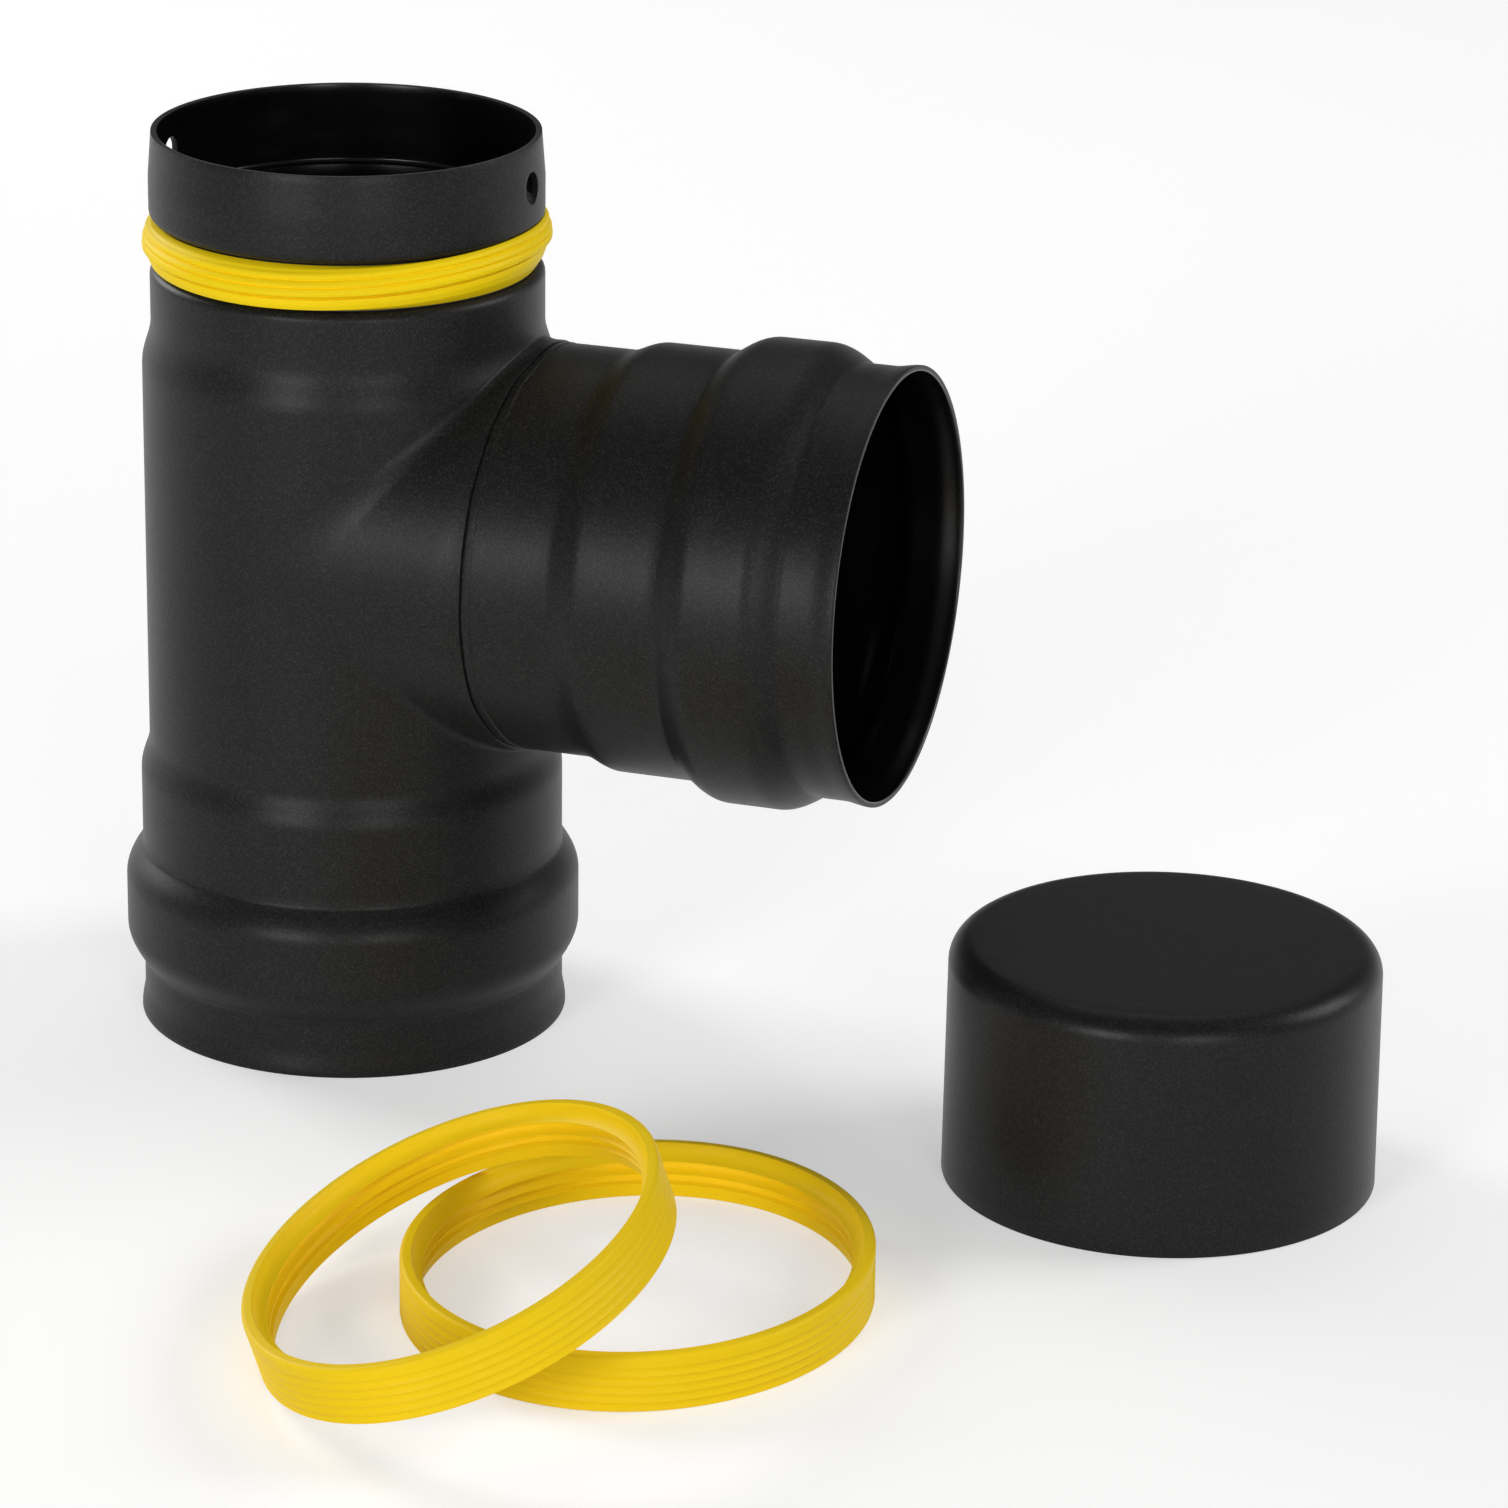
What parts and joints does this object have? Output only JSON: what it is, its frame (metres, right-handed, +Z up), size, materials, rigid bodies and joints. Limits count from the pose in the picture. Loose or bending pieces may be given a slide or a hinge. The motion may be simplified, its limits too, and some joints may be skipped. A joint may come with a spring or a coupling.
{
  "type": "stove pipe tee",
  "caption": "Black steel stove pipe tee with a side branch, beaded socket ends, a ribbed seal round its spigot, and its loose end cap and loose seals beside it.",
  "frame": {"origin": "middle of the floor area that the tee, its cap and its loose seals cover together, on the floor", "axes": "+Z up along the run to its spigot, +X along the branch to its mouth"},
  "size_m": [0.2732, 0.2524, 0.188],
  "materials": {
    "stove_paint": "satin black heat-resistant paint with fine metallic flake",
    "silicone": "satin yellow silicone"
  },
  "bodies": {
    "root": {"run_pipe": "stove_paint", "branch_socket": "stove_paint", "end_cap": "stove_paint", "spigot_seal": "silicone", "branch_seal": "silicone", "base_seal": "silicone"}
  },
  "joints": []
}
